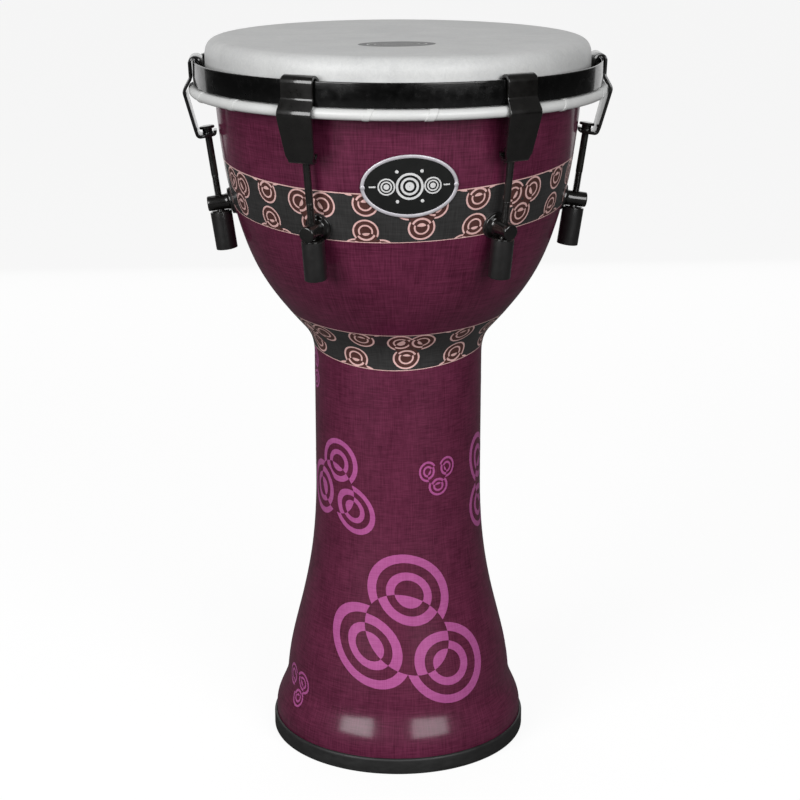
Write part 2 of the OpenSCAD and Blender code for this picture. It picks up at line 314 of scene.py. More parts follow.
def laminate(name, dark, light):
    """Printed canvas under semi-gloss lacquer. The threads run up the drum and round it."""
    m = Nodes(name)
    pos = m.place()
    flat = m.node("ShaderNodeVectorMath", operation="MULTIPLY")
    m.link(pos, flat.inputs[0])
    flat.inputs[1].default_value = (1, 1, 0)
    unit = m.node("ShaderNodeVectorMath", operation="NORMALIZE")
    m.link(flat.outputs[0], unit.inputs[0])
    split = m.node("ShaderNodeSeparateXYZ")
    m.link(unit.outputs[0], split.inputs[0])
    height = m.node("ShaderNodeSeparateXYZ")
    m.link(pos, height.inputs[0])
    wrap = m.node("ShaderNodeCombineXYZ")
    for k in (0, 1):
        m.link(m.math("MULTIPLY", split.outputs[k], 0.1), wrap.inputs[k])
    m.link(height.outputs[2], wrap.inputs[2])
    round_ = wrap.outputs[0]
    warp = m.noise(m.stretched(round_, (1, 1, 0.055)), 1300, 1.5, 0.6)
    weft = m.noise(m.stretched(round_, (0.055, 0.055, 1)), 1250, 1.5, 0.6)
    slub = m.noise(m.stretched(round_, (0.16, 0.16, 1)), 260, 2, 0.6)
    slub_up = m.noise(m.stretched(round_, (1, 1, 0.12)), 240, 2, 0.6)
    cloud = m.noise(round_, 34, 4, 0.6)
    fine = m.math("ADD", m.math("MULTIPLY", warp, 0.5), m.math("MULTIPLY", weft, 0.5))
    broad = m.math("ADD", m.math("MULTIPLY", slub, 0.5), m.math("MULTIPLY", slub_up, 0.5))
    mix = m.math("ADD", m.math("MULTIPLY", fine, 0.66),
                 m.math("ADD", m.math("MULTIPLY", broad, 0.12), m.math("MULTIPLY", cloud, 0.22)))
    col = m.ramp(mix, [(0.36, dark), (0.62, light)])
    return m.set(Base_Color=col, Roughness=0.5, Normal=m.bump(fine, 0.00006, 0.6),
                 Coat_Weight=0.6, Coat_Roughness=0.17, Coat_IOR=1.5, Specular_IOR_Level=0.1)


def black_coat(name, base=(0.0042, 0.0038, 0.0034), rough=0.3, coat=0.09, weight=1.0):
    """Gloss black powder coat: faint orange peel, and dust in the gloss."""
    m = Nodes(name)
    pos = m.place()
    peel = m.noise(pos, 900, 2, 0.5)
    dust = m.noise(pos, 140, 5, 0.65)
    rough_map = m.node("ShaderNodeMapRange")
    m.link(dust, rough_map.inputs["Value"])
    rough_map.inputs["From Min"].default_value = 0.35
    rough_map.inputs["From Max"].default_value = 0.7
    rough_map.inputs["To Min"].default_value = rough - 0.05
    rough_map.inputs["To Max"].default_value = rough + 0.12
    return m.set(Base_Color=shaded(m, base, 0.3, dust), Roughness=rough_map.outputs[0],
                 Normal=m.bump(peel, 0.00004, 0.35), Coat_Weight=weight, Coat_Roughness=coat,
                 Specular_IOR_Level=0.25)


def metal(name, base, rough, metallic=1.0):
    """Plated steel or nickel with fine brushing."""
    m = Nodes(name)
    pos = m.place()
    brush = m.noise(m.stretched(pos, (1, 1, 0.08)), 1500, 2, 0.5)
    blot = m.noise(pos, 160, 4, 0.6)
    rough_map = m.node("ShaderNodeMapRange")
    m.link(blot, rough_map.inputs["Value"])
    rough_map.inputs["To Min"].default_value = rough - 0.08
    rough_map.inputs["To Max"].default_value = rough + 0.1
    return m.set(Base_Color=shaded(m, base, 0.15, blot), Metallic=metallic, Roughness=rough_map.outputs[0],
                 Normal=m.bump(brush, 0.00003, 0.4))


def rubber(name, base):
    m = Nodes(name)
    pos = m.place()
    skin = m.noise(pos, 1400, 3, 0.6)
    scuff = m.noise(m.stretched(pos, (1, 1, 3)), 70, 5, 0.7)
    return m.set(Base_Color=m.ramp(scuff, [(0.3, [c * 0.8 for c in base]), (0.8, [c * 1.7 for c in base])]),
                 Roughness=m.ramp(scuff, [(0.3, [0.42] * 3), (0.75, [0.62] * 3)]),
                 Normal=m.bump(skin, 0.00008, 0.5))


def film(name, dark, light, rough=0.42, scale=1.0):
    """White head film with fibres and clouds pressed into it."""
    m = Nodes(name)
    pos = m.place()
    cloud = m.noise(pos, 24 * scale, 5, 0.62, 0.4)
    fibre = m.noise(pos, 190 * scale, 4, 0.7, 1.6)
    speck = m.noise(pos, 900, 2, 0.5)
    mix = m.math("ADD", m.math("MULTIPLY", cloud, 0.45),
                 m.math("ADD", m.math("MULTIPLY", fibre, 0.38), m.math("MULTIPLY", speck, 0.17)))
    return m.set(Base_Color=m.ramp(mix, [(0.36, dark), (0.62, light)]), Roughness=rough,
                 Normal=m.bump(m.math("ADD", fibre, speck), 0.00006, 0.5),
                 Specular_IOR_Level=0.4)


SHELL = laminate("shell_cloth", (0.054, 0.0040, 0.019), (0.140, 0.0215, 0.058))
GROUND = laminate("band_ground_cloth", (0.018, 0.0175, 0.0175), (0.038, 0.037, 0.037))
PEACH = laminate("peach_ink_cloth", (0.58, 0.34, 0.32), (0.80, 0.52, 0.50))
MAROON = laminate("maroon_ink_cloth", (0.052, 0.019, 0.016), (0.092, 0.036, 0.031))
PINK = laminate("pink_ink_cloth", (0.35, 0.066, 0.225), (0.465, 0.11, 0.32))
BLACK = black_coat("black_powder_coat")
BLACK_HOOP = black_coat("black_hoop_coat", (0.002, 0.002, 0.002), 0.2, 0.06, 0.7)
BLACK_ROD = black_coat("black_rod", (0.006, 0.0055, 0.005), 0.3)
COVER = black_coat("nut_cover_black", (0.009, 0.0085, 0.0085), 0.36, 0.22)
ENAMEL = black_coat("badge_enamel", (0.006, 0.0065, 0.0062), 0.16)
NICKEL = metal("badge_nickel", (0.58, 0.56, 0.60), 0.42, 0.4)
ZINC = metal("zinc_plate", (0.62, 0.62, 0.60), 0.32)
STEEL = metal("plain_steel", (0.42, 0.42, 0.41), 0.4)
RUBBER = rubber("foot_rubber", (0.012, 0.012, 0.012))
GASKET = rubber("gasket_rubber", (0.016, 0.016, 0.016))
HEAD = film("head_film", (0.50, 0.505, 0.505), (0.61, 0.615, 0.61))
WRAP = film("hoop_wrap_film", (0.60, 0.605, 0.60), (0.66, 0.665, 0.655), 0.34, 1.6)
HEAD_INK = film("head_ink", (0.035, 0.035, 0.036), (0.10, 0.10, 0.10))
SILVER_INK = film("badge_ink", (0.50, 0.50, 0.50), (0.68, 0.68, 0.68), 0.35)


def inside_material():
    """The shell's moulded inside: dark resin over coarse fibre."""
    m = Nodes("shell_inside")
    pos = m.place()
    mat = m.noise(pos, 120, 5, 0.7, 1.2)
    return m.set(Base_Color=m.ramp(mat, [(0.35, (0.012, 0.011, 0.011)), (0.7, (0.04, 0.036, 0.034))]),
                 Roughness=0.5, Normal=m.bump(mat, 0.0004, 0.6))


INSIDE = inside_material()

# --- shell ---------------------------------------------------------------------------------------

STEPS = [14, 30, 10, 18, 26, 24]
ROUND = 240


def build_shell():
    """The wall, clothed outside and over most of its rounded edge, and bare inside."""
    outer = [tuple(p) for c, n in zip(SHELL_CURVES, STEPS) for p in bezier(c, n, False)]
    edge_z = HEAD_Z - FILM - 0.5
    rim = [tuple(p) for p in bezier([(RIM_R, 586), (RIM_R, 594), (148.5, edge_z), (144.5, edge_z)], 14)]
    lip = [tuple(p) for p in bezier([(143.5, edge_z), (141, edge_z), (140, 597.5), (140, 595)], 6)]
    s_in = np.linspace(0, np.interp(562, _line[:, 1], _s), 90)
    r, z, nr, nz = outline(s_in)
    inner = [(a - WALL * b, c - WALL * d) for a, b, c, d in zip(r, nr, z, nz)]
    inner = [inner[0]] + [b for a, b in zip(inner, inner[1:]) if b[1] > a[1] + 0.2]
    outside = [(101.9, 4.4), (102.3, 4), (106.5, 4), (106.9, 4.4)] + outer + [(RIM_R, 580)] + rim + lip
    verts, faces = lathe(outside + [(140, 577)] + inner[::-1], ROUND)
    clothed = len(outside) - 3
    mats = [0 if i // ROUND < clothed else 1 for i in range(len(faces))]
    add_piece("shell_body", verts, faces, [SHELL, INSIDE], "shell", ["shell"],
              face_mats=mats, sharp=50)


build_shell()

# --- printed cloth -------------------------------------------------------------------------------

INK_LIFT = 0.08


def ringed(az, s, hu, hs, lean=0.0):
    """One circle of the print: azimuth in degrees, half width, half height, and how far it is sheared."""
    m = np.array([[hu, 0], [lean * hs, math.sqrt(1 - lean * lean) * hs]])
    return {"az": math.radians(az), "s": s, "m": m, "inv": np.linalg.inv(m)}


def reach(c, theta, s):
    """How far out a place is in circle c, with 1 on its edge."""
    u = (theta - c["az"]) * outline(s)[0]
    v = s - c["s"]
    q = c["inv"]
    return np.hypot(q[0, 0] * u + q[0, 1] * v, q[1, 0] * u + q[1, 1] * v)


def ring_line(c, f, n):
    a = np.linspace(0, TAU, n, endpoint=False)
    u, v = f * (c["m"] @ np.array([np.cos(a), np.sin(a)]))
    s = c["s"] + v
    return c["az"] + u / outline(s)[0], s


def turned(group, az0, s0, az1, s1, turn):
    """A copy of a group of circles, moved from one place on the shell to another and turned."""
    t = math.radians(turn)
    rot = np.array([[math.cos(t), -math.sin(t)], [math.sin(t), math.cos(t)]])
    r0, r1 = outline(s0)[0], outline(s1)[0]
    out = []
    for c in group:
        d = rot @ np.array([(c["az"] - math.radians(az0)) * r0, c["s"] - s0])
        m = rot @ c["m"]
        out.append({"az": math.radians(az1) + d[0] / r1, "s": s1 + d[1], "m": m, "inv": np.linalg.inv(m)})
    return out


BAND_RINGS = {"out": [(0.865, 1.0), (0.44, 0.57)], "in": [(0.63, 0.79), (-1.0, 0.36)]}
PINK_RINGS = {"out": [(0.786, 1.0), (0.35, 0.55)], "in": [(0.55, 0.786), (-1.0, 0.35)]}


def ink_at(groups, rings, theta, s):
    """2 where a line is printed, 1 in the gaps of a circle, and 0 outside every circle."""
    ink = np.zeros(len(theta), int)
    for circles, disc in groups:
        swap = reach(disc, theta, s) < 1
        for c in circles:
            f = reach(c, theta, s)
            line = np.zeros(len(f), bool)
            for key, zone in (("out", ~swap), ("in", swap)):
                for lo, hi in rings[key]:
                    line |= zone & (f > lo) & (f < hi)
            ink[(f < 1)] = 1
            ink[(f < 1) & line] = 2
    return ink


def outlines(groups, rings, size):
    """Every edge of the print as short straight pieces."""
    pieces = []

    def add(theta, s, keep):
        for i in range(len(theta)):
            j = (i + 1) % len(theta)
            if keep[i]:
                pieces.append(((theta[i], s[i]), (theta[j], s[j])))

    edges = sorted({x for pairs in rings.values() for pair in pairs for x in pair if 0 < x < 1})
    for circles, disc in groups:
        span = max(abs(c["m"]).max() for c in circles)
        n = max(28, int(TAU * span / size))
        for c in circles:
            for f in [1.0] + edges:
                theta, s = ring_line(c, f, max(20, int(n * (0.4 + 0.6 * f))))
                mid = reach(disc, (theta + np.roll(theta, -1)) / 2, (s + np.roll(s, -1)) / 2)
                outside = any(f in pair for pair in rings["out"])
                inside = any(f in pair for pair in rings["in"])
                keep = np.ones(len(s), bool) if f == 1.0 else \
                    (outside & (mid > 0.93)) | (inside & (mid < 1.07))
                add(theta, s, keep)
        theta, s = ring_line(disc, 1.0, n)
        near = np.min([reach(c, theta, s) for c in circles], axis=0) < 1.08
        add(theta, s, near | np.roll(near, -1))
    return pieces


def triangulate(pieces, points, ref):
    """Triangles of the plane of (azimuth times ref, s) that keep every piece as an edge."""
    verts, edges = [], []
    for a, b in pieces:
        edges.append((len(verts), len(verts) + 1))
        verts += [(a[0] * ref, a[1]), (b[0] * ref, b[1])]
    verts += [(t * ref, s) for t, s in points]
    co, _, faces, _, _, _ = delaunay_2d_cdt([Vector(v) for v in verts], edges, [], 0, 1e-4)
    co = np.array([v[:] for v in co])
    return co[:, 0] / ref, co[:, 1], np.array([list(f) for f in faces])


def lay_ink(name, theta, s, tris, turns, material, wave=None):
    """The triangles as one thin sheet on the shell, once for each turn. wave lifts it up the shell."""
    used = np.unique(tris)
    back = np.full(len(theta), -1)
    back[used] = np.arange(len(used))
    tris = back[tris]
    th, ss = theta[used], s[used]
    cos, nos, faces = [], [], []
    for k, turn in enumerate(turns):
        up = ss if wave is None else ss + wave(th + turn)
        co, no = on_shell(th + turn, up, INK_LIFT)
        cos.append(co)
        nos.append(no)
        faces.append(tris + k * len(used))
    co, no, faces = np.vstack(cos), np.vstack(nos), np.vstack(faces)
    key = {}
    ids = np.array([key.setdefault(tuple(k), len(key)) for k in np.round(co, 4)])
    first = np.unique(ids, return_index=True)[1]
    faces = [tuple(f) for f in ids[faces].tolist() if len(set(f)) == 3]
    add_piece(name, co[first], faces, material, "shell", normals=no[first])


# What ink_at gives, and the sheet and material that print it
BAND_INKS = [(0, "ground", GROUND), (1, "rings_dark", MAROON), (2, "rings_peach", PEACH)]


def printed_band(name, groups, s_lo, s_hi, az_lo, repeats, border, wave):
    """A band right round the drum, made of equal tiles. border is its edge line's width below and above."""
    lo, hi = math.radians(az_lo), math.radians(az_lo) + TAU / repeats
    ref = float(outline((s_lo + s_hi) / 2)[0])
    pieces = outlines(groups, BAND_RINGS, 1.5)
    across = np.linspace(lo, hi, int((hi - lo) * ref / 4) + 1)
    in_lo, in_hi = s_lo + border[0], s_hi - border[1]
    rows = np.concatenate([[s_lo], np.linspace(in_lo, in_hi, int((s_hi - s_lo) / 3.5)), [s_hi]])
    for s in (s_lo, in_lo, in_hi, s_hi):
        pieces += [((a, s), (b, s)) for a, b in zip(across, across[1:])]
    for t in (lo, hi):
        pieces += [((t, a), (t, b)) for a, b in zip(rows, rows[1:])]
    points = [(t, s) for t in across[1:-1] for s in rows[1:-1]]
    theta, s, tris = triangulate(pieces, points, ref)
    mt, ms = theta[tris].mean(1), s[tris].mean(1)
    inside = (ms > s_lo) & (ms < s_hi) & (mt > lo) & (mt < hi)
    ink = ink_at(groups, BAND_RINGS, mt, ms)
    ink[(ms < in_lo) | (ms > in_hi)] = 2
    turns = [k * TAU / repeats for k in range(repeats)]
    for value, part, material in BAND_INKS:
        lay_ink(f"{name}_{part}", theta, s, tris[inside & (ink == value)], turns, material, wave)


def trio(u, s, r, up=1, side=10.2, rise=17.0, centre=11.4, skew=0.0):
    """Three circles round a disc. The first is u round the shell at s, with the others above or below it."""
    s2, mid = s + up * rise, s + up * centre

    def place(du, at, size):
        return ringed(math.degrees((u + du) / float(outline(at)[0])), at, *size)

    return ([place(0, s, r), place(skew - side, s2, r), place(skew + side, s2, r)],
            place(skew / 2, mid, (r[0] * 1.02, r[1] * 1.02)))


def bowl_wave(theta):
    """The cloth isn't quite level: how far the bowl's band rises round the drum."""
    a = theta + math.radians(14)
    return 5 * (1 - np.cos(a)) + 3.1 * (1 - np.cos(2 * a))


def neck_wave(theta):
    return 4 * (1 - np.cos(2 * (theta + math.radians(7))))


printed_band("bowl_band", [trio(9.6, 471.6, (10.5, 10.4)), trio(54.4, 491.6, (10.4, 10.2), 1, rise=16.3),
                           trio(51.7, 468.9, (10.3, 10.0), -1, rise=16.3)],
             459.3, 499.9, -4.6, 10, (0.6, 0.9), bowl_wave)
NECK_TRIOS = (-171.0, -82.3, 2.2, 86.7, 175.0)
NECK_PAIRS = (-220.9, -124.0, -34.95, 49.55, 136.0, 224.5)
printed_band("neck_band",
             [trio(u, 335.1, (10.9, 9.9), side=8.8, rise=17.3, centre=11.4, skew=3.7) for u in NECK_TRIOS]
             + [trio(u, 355.0, (10.8, 10.1), 1, side=8.8, rise=15.9) for u in NECK_PAIRS]
             + [trio(u - 4.9, 332.3, (10.8, 10.1), -1, side=8.8, rise=15.9) for u in NECK_PAIRS],
             323.8, 362.8, -180.0, 1, (0.6, 0.9), neck_wave)

# Three circles and the disc inside which their rings swap: azimuth, s, half width, half height and lean
BIG = [ringed(3.4, 132.5, 35.2, 34.2, -0.17), ringed(-19.5, 87.9, 36.2, 35.4, -0.33),
       ringed(23.5, 71.3, 36.5, 34.8, -0.10), ringed(1.9, 98.2, 36.1, 34.2, -0.24)]
MEDIUM = [ringed(-48.4, 239.6, 20.2, 20.7, -0.05), ringed(-66.2, 213.5, 19.7, 22.8, -0.09),
          ringed(-36.0, 202.2, 20.8, 21.2, -0.29), ringed(-51.4, 217.6, 20.3, 21.8, -0.24)]
SMALL = [ringed(17.0, 236.8, 7.8, 8.9), ringed(31.2, 238.8, 7.6, 8.9, 0.08),
         ringed(24.8, 223.6, 8.9, 8.5), ringed(24.0, 233.2, 8.6, 8.7, 0.12)]
LOW = [ringed(-61.4, 39.1, 9.6, 9.2, -0.21), ringed(-72.5, 40.4, 8.6, 9.2, -0.2),
       ringed(-63.5, 25.0, 8.4, 8.2, -0.2), ringed(-65.8, 34.8, 9.0, 9.0, -0.2)]


def printed_motifs():
    big, medium, small = (1.9, 98.2), (-51.4, 217.6), (24.0, 233.2)
    places = [
        ("big_front", BIG), ("medium_front", MEDIUM), ("small_front", SMALL), ("small_foot", LOW),
        ("small_neck", turned(SMALL, *small, -84, 312, 30)),
        ("medium_right", turned(MEDIUM, *medium, 80, 214, 160)),
        ("small_right", turned(SMALL, *small, 97, 292, -25)),
        ("small_right_foot", turned(SMALL, *small, 88, 52, 70)),
        ("big_back", turned(BIG, *big, 150, 118, 65)),
        ("small_back", turned(SMALL, *small, 125, 268, 200)),
        ("medium_back", turned(MEDIUM, *medium, 178, 256, 75)),
        ("small_back_foot", turned(SMALL, *small, -164, 44, 15)),
        ("big_left", turned(BIG, *big, -136, 104, -50)),
        ("small_left", turned(SMALL, *small, -104, 226, 110)),
        ("small_left_neck", turned(SMALL, *small, -140, 291, -70)),
    ]
    for name, circles in places:
        groups = [(circles[:3], circles[3])]
        size = max(abs(c["m"]).max() for c in circles)
        pieces = outlines(groups, PINK_RINGS, 2.0 if size > 15 else 1.0)
        lo = min(c["s"] for c in circles) - size * 1.1
        hi = max(c["s"] for c in circles) + size * 1.1
        ref = float(outline((lo + hi) / 2)[0])
        t0 = min(c["az"] for c in circles) - size * 1.3 / ref
        t1 = max(c["az"] for c in circles) + size * 1.3 / ref
        step = 4.0 if size > 15 else 2.5
        grid = [(t, s) for t in np.arange(t0, t1, step / ref) for s in np.arange(lo, hi, step)]
        gt, gs = np.array([g[0] for g in grid]), np.array([g[1] for g in grid])
        near = ink_at(groups, PINK_RINGS, gt, gs) > 0
        theta, s, tris = triangulate(pieces, [g for g, ok in zip(grid, near) if ok], ref)
        mt, ms = theta[tris].mean(1), s[tris].mean(1)
        lay_ink(f"print_{name}", theta, s, tris[ink_at(groups, PINK_RINGS, mt, ms) == 2], [0.0], PINK)


printed_motifs()

# --- foot ring -----------------------------------------------------------------------------------


def build_foot_ring():
    profile = [(99.4, 0.5), (99.9, 0.0), (107.7, 0.0)] + arc(107.7, 1.5, 1.5, -90, 0, 6)[1:] \
        + [tuple(p) for p in bezier([(109.2, 11.5), (109.2, 13.2), (108.4, 14), (107.3, 14)], 8)] \
        + [(106.95, 13.6), (106.95, 3.9), (101.95, 3.9), (101.95, 11.6), (101.5, 12), (100.2, 12), (99.4, 10)]
    verts, faces = lathe(profile, ROUND)
    add_piece("foot_ring_rubber", verts, faces, RUBBER, "shell", ["foot_ring"], sharp=50)


build_foot_ring()

# --- head and hoops ------------------------------------------------------------------------------


def build_head():
    shoulder = bezier([(155.5, 586), (155.5, 595.3), (151.8, 600), (142, 600)], 20)[::-1]
    flare = bezier([(155.5, 572), (155.5, 566), (HOOP_R - TUBE_R - FILM / 2, 565.5),
                    (HOOP_R - TUBE_R, TUBE_Z)], 12)
    flats = [(r, HEAD_Z) for r in (0, 30, 60, 90, 115, 132)]
    side = np.vstack([shoulder, [[155.5, 581.5], [155.5, 576.5]], flare])
    d = np.gradient(side, axis=0)
    d /= np.linalg.norm(d, axis=1)[:, None]
    inner = side + FILM * np.stack([d[:, 1], -d[:, 0]], -1)
    inner[0] = side[0] - [0, FILM]
    profile = flats + [tuple(p) for p in side] + [tuple(p) for p in inner[::-1]] \
        + [(r, HEAD_Z - FILM) for r in (132, 115, 90, 60, 30, 0)]
    verts, faces = lathe(profile, ROUND)
    add_piece("head_skin", verts, faces, HEAD, "head", ["drumhead_skin"], sharp=50)


def build_wrap():
    """White tape wound over the hoop, with a slanted raised joint every few centimetres."""
    joints, around, skin = 18, 28, TUBE_R - 0.62
    gaps = np.array([1 + 0.22 * math.sin(2.4 * i) + 0.14 * math.sin(5.1 * i + 1) for i in range(joints)])
    starts = np.concatenate([[0], np.cumsum(gaps)[:-1]]) / gaps.sum() * TAU
    gaps *= TAU / gaps.sum()
    columns = []
    for k, (a, gap) in enumerate(zip(starts, gaps)):
        half = (2.6 + 0.5 * math.sin(1.9 * k)) / HOOP_R
        step, lift = 0.3 / HOOP_R, 0.54 + 0.05 * math.sin(3.3 * k)
        columns += [(a - half - step, 0.0), (a - half, lift * 0.8), (a, lift), (a + half, lift * 0.9),
                    (a + half + step, 0.06)]
        n = max(4, int(gap * HOOP_R / 4))
        columns += [(a + half + step + (gap - 2 * half - 2 * step) * j / n, 0.06 * (1 - j / n))
                    for j in range(1, n)]
    verts = []
    for a, lift in columns:
        for j in range(around):
            b = TAU * j / around
            r = skin + lift
            t = a + 0.012 * math.sin(b)
            rr = HOOP_R + r * math.cos(b)
            verts.append((rr * math.cos(t), rr * math.sin(t), TUBE_Z + r * math.sin(b)))
    m = len(columns)
    faces = [[i * around + j, ((i + 1) % m) * around + j, ((i + 1) % m) * around + (j + 1) % around,
              i * around + (j + 1) % around] for i in range(m) for j in range(around)]
    add_piece("hoop_tape", verts, faces, WRAP, "head", ["hoop_wrap"], sharp=32)


def build_counter_hoop():
    r0, r1, z0, z1 = BAND_R - BAND_T, BAND_R, BAND_Z, BAND_Z + BAND_H
    e = 0.85
    profile = arc(r1 - e, z1 - e, e, 0, 90, 7) + arc(r0 + e, z1 - e, e, 90, 180, 7) \
        + arc(r0 + 0.4, z0 + 0.4, 0.4, 180, 270, 4) + arc(r1 - 0.4, z0 + 0.4, 0.4, 270, 360, 4)
    verts, faces = lathe(profile, 288)
    add_piece("counter_hoop_band", verts, faces, BLACK_HOOP, "head", ["counter_hoop"],
              sharp=60)


build_head()
build_wrap()
build_counter_hoop()

# --- claws ---------------------------------------------------------------------------------------


# Height, and half the strap's width there
CLAW_HALF_WIDTHS = [(510, 10.5), (524.4, 10.5), (526, 12.1), (552, 14.5), (556, 14.7), (560, 14.5),
                    (565, 14.0), (570, 13.5), (583, 13.5), (585.6, 12.5), (586.6, 10.5)]
TURNS = 6


def claw_mesh():
    """The bent strap of a claw in its lug's frame, with a slot that clears the leaning rod as it lifts."""
    c, s = math.cos(LEAN), math.sin(LEAN)
    top = 586.4 - STRAP / 2
    toe = np.array([162.2, 521.0])
    lip = toe + np.array([-c, s]) * (toe[0] - 148.2) / c
    corners = [(157.8, 574), (157.8, top), (167.4, top), (166.7, 568.5), (172.4, 558.6), toe, lip,
               lip + 3.2 * np.array([s, c])]
    line = rounded_line(corners, [0, 4.7, 4.3, 5, 6, 2.8, 1.8, 0])
    dense = [line[0]]
    for a, b in zip(line, line[1:]):
        k = max(1, int(np.linalg.norm(b - a) / 3.0))
        dense += [a + (b - a) * j / k for j in range(1, k + 1)]
    line = np.array(dense)
    d = np.gradient(line, axis=0)
    d /= np.linalg.norm(d, axis=1)[:, None]
    nrm = np.stack([-d[:, 1], d[:, 0]], -1)
    half_t, e, k = STRAP / 2, 0.55, 4
    verts = []
    for p, q in zip(line, nrm):
        w = float(np.interp(p[1], *zip(*CLAW_HALF_WIDTHS)))
        if p[0] < 157.6 and p[1] < 535:
            w = min(w, 3.4 + 0.5 * (p[0] - 143))
        ring = []
        for cy, ct, a0 in ((w - e, half_t - e, 0), (-w + e, half_t - e, 90), (-w + e, -half_t + e, 180),
                           (w - e, -half_t + e, 270)):
            for j in range(k + 1):
                a = math.radians(a0 + 90 * j / k)
                ring.append((cy + e * math.cos(a), ct + e * math.sin(a)))
        verts += [(p[0] + q[0] * t, y, p[1] + q[1] * t) for y, t in ring]
    faces = tube(len(line), 4 * (k + 1))
    travel = TURNS * math.sin(LEAN) + 0.1
    ring = [(3.3 * math.cos(a) + (travel if math.cos(a) >= 0 else 0), 3.3 * math.sin(a))
            for a in np.linspace(-math.pi, math.pi, 33)[:-1]]
    slot = [(x, y, z) for z in (53.3, 59.3) for x, y in ring]
    return cut(verts, faces, (moved(slot, ROD_IN_LUG), tube(2, len(ring))))


claw_verts, claw_faces = claw_mesh()
for i in LUGS:
    add_piece(f"claw_strap_{i}", moved(claw_verts, lug_matrix(i)), claw_faces, BLACK, "head",
              [f"claw_{i}"], sharp=38)

# --- lugs ----------------------------------------------------------------------------------------


def barrel_frame():
    """Origin, axis and two cross directions of a lug's barrel, in its lug frame."""
    c, s = math.cos(LEAN), math.sin(LEAN)
    return np.array([LUG_R, 0, LUG_Z]), np.array([c, 0, -s]), np.array([0, 1.0, 0]), np.array([s, 0, c])


def shell_depth(rho, psi, height):
    """Where a line along the barrel at (rho, psi) meets the layer height above the shell."""
    o, ax, e1, e2 = barrel_frame()
    p = o + rho * (math.cos(psi) * e1 + math.sin(psi) * e2)
    t = -10.0
    for _ in range(12):
        q = p + ax * t
        r = math.hypot(q[0], q[1])
        s = float(np.interp(q[2], _line[:, 1], _s))
        rr, zz, nr, nz = outline(s)
        t -= ((r - rr) * nr + (q[2] - zz) * nz - height) / float(ax[0] * nr + ax[2] * nz)
    return t


def swept(rows, n=48):
    """Rows of (radius, depth, height above shell or None) round a barrel, closed at both ends."""
    o, ax, e1, e2 = barrel_frame()
    verts = []
    for rho, depth, height in rows:
        for i in range(n):
            psi = TAU * i / n
            t = depth if height is None else shell_depth(rho, psi, height)
            verts.append(o + ax * t + rho * (math.cos(psi) * e1 + math.sin(psi) * e2))
    return np.array(verts), tube(len(rows), n)


def build_lugs():
    rows = [(10.2, 0, 1.0), (10.7, 0, 1.3), (10.7, 0, 2.3), (10.5, 0, 2.7), (10.1, 0, 2.95), (9.2, 0, 3.05),
            (8.1, 0, 3.2), (7.3, 0, 3.5), (6.8, 0, 4.0), (6.4, 0, 5.0), (6.2, 0, 6.4),
            (6.2, -1, None), (6.2, 2, None), (6.2, 6, None), (6.2, 8.7, None), (6.05, 9.2, None),
            (5.7, 9.55, None), (5.2, 9.75, None), (4.2, 9.8, None)]
    verts, faces = swept(rows)
    hole, hole_faces = lathe([(0, -10), (3.05, -10), (3.05, 10), (0, 10)], 32)
    hole_faces = [f for f in hole_faces if len(f) > 2]
    verts, faces = cut(verts, faces, (moved(hole, ROD_IN_LUG), hole_faces))
    pad, pad_faces = swept([(10.6, 0, 0.03), (11.1, 0, 0.03), (11.2, 0, 0.25), (11.2, 0, 0.75),
                            (11.0, 0, 1.0), (10.6, 0, 1.02)])
    pads, all_faces = [], []
    for i in LUGS:
        add_piece(f"lug_casting_{i}", moved(verts, lug_matrix(i)), faces, BLACK, "shell",
                  [f"lug_post_{i}"], sharp=38)
        all_faces += [[v + len(pads) * len(pad) for v in f] for f in pad_faces]
        pads.append(moved(pad, lug_matrix(i)))
    add_piece("lug_pads", np.vstack(pads), all_faces, GASKET, "shell", ["lug_gaskets"])


build_lugs()

# --- rods and nuts -------------------------------------------------------------------------------


CREST, ROOT = 2.95, 2.45


def thread(f):
    """Radius of an M6 thread at fraction f of its pitch."""
    return float(np.interp(f % 1, (0, 0.14, 0.44, 0.68, 1), (CREST, CREST, ROOT, ROOT, CREST)))


def build_rods():
    n = 24
    lo, hi, per = -3.0, 23.0, 12
    verts = []

    def ring(t, radius):
        verts.extend((radius(a) * math.cos(a), radius(a) * math.sin(a), t)
                     for a in (TAU * k / n for k in range(n)))

    ring(-32, lambda a: ROOT - 0.1)
    ring(-31.2, lambda a: CREST)
    ring(lo - 0.3, lambda a: CREST)
    rows = int((hi - lo) * per)
    for k in range(rows + 1):
        t = lo + k / per
        fade = min(1, (hi - t) / 1.5)
        ring(t, lambda a: SHANK + (thread(t - a / TAU) - SHANK) * max(fade, 0))
    for t, r in ((24, SHANK), (40, SHANK), (ROD_HEAD, SHANK), (ROD_HEAD, 3.7), (ROD_HEAD + 0.3, 4.0),
                 (ROD_HEAD + 2.5, 4.0), (ROD_HEAD + 2.7, 4.2), (ROD_HEAD + 2.7, 5.95), (ROD_HEAD + 2.95, 6.2),
                 (ROD_HEAD + 4.15, 6.2), (ROD_HEAD + 4.4, 6.0), (ROD_HEAD + 4.7, 5.5), (ROD_HEAD + 4.86, 4.9),
                 (ROD_HEAD + 4.9, 4.2), (ROD_HEAD + 4.9, 2.0)):
        ring(t, lambda a: r)
    faces = tube(len(verts) // n, n)
    for i in LUGS:
        add_piece(f"rod_{i}", moved(verts, rod_matrix(i)), faces, BLACK_ROD, f"rod_{i}",
                  [f"tension_rod_{i}"], sharp=38)


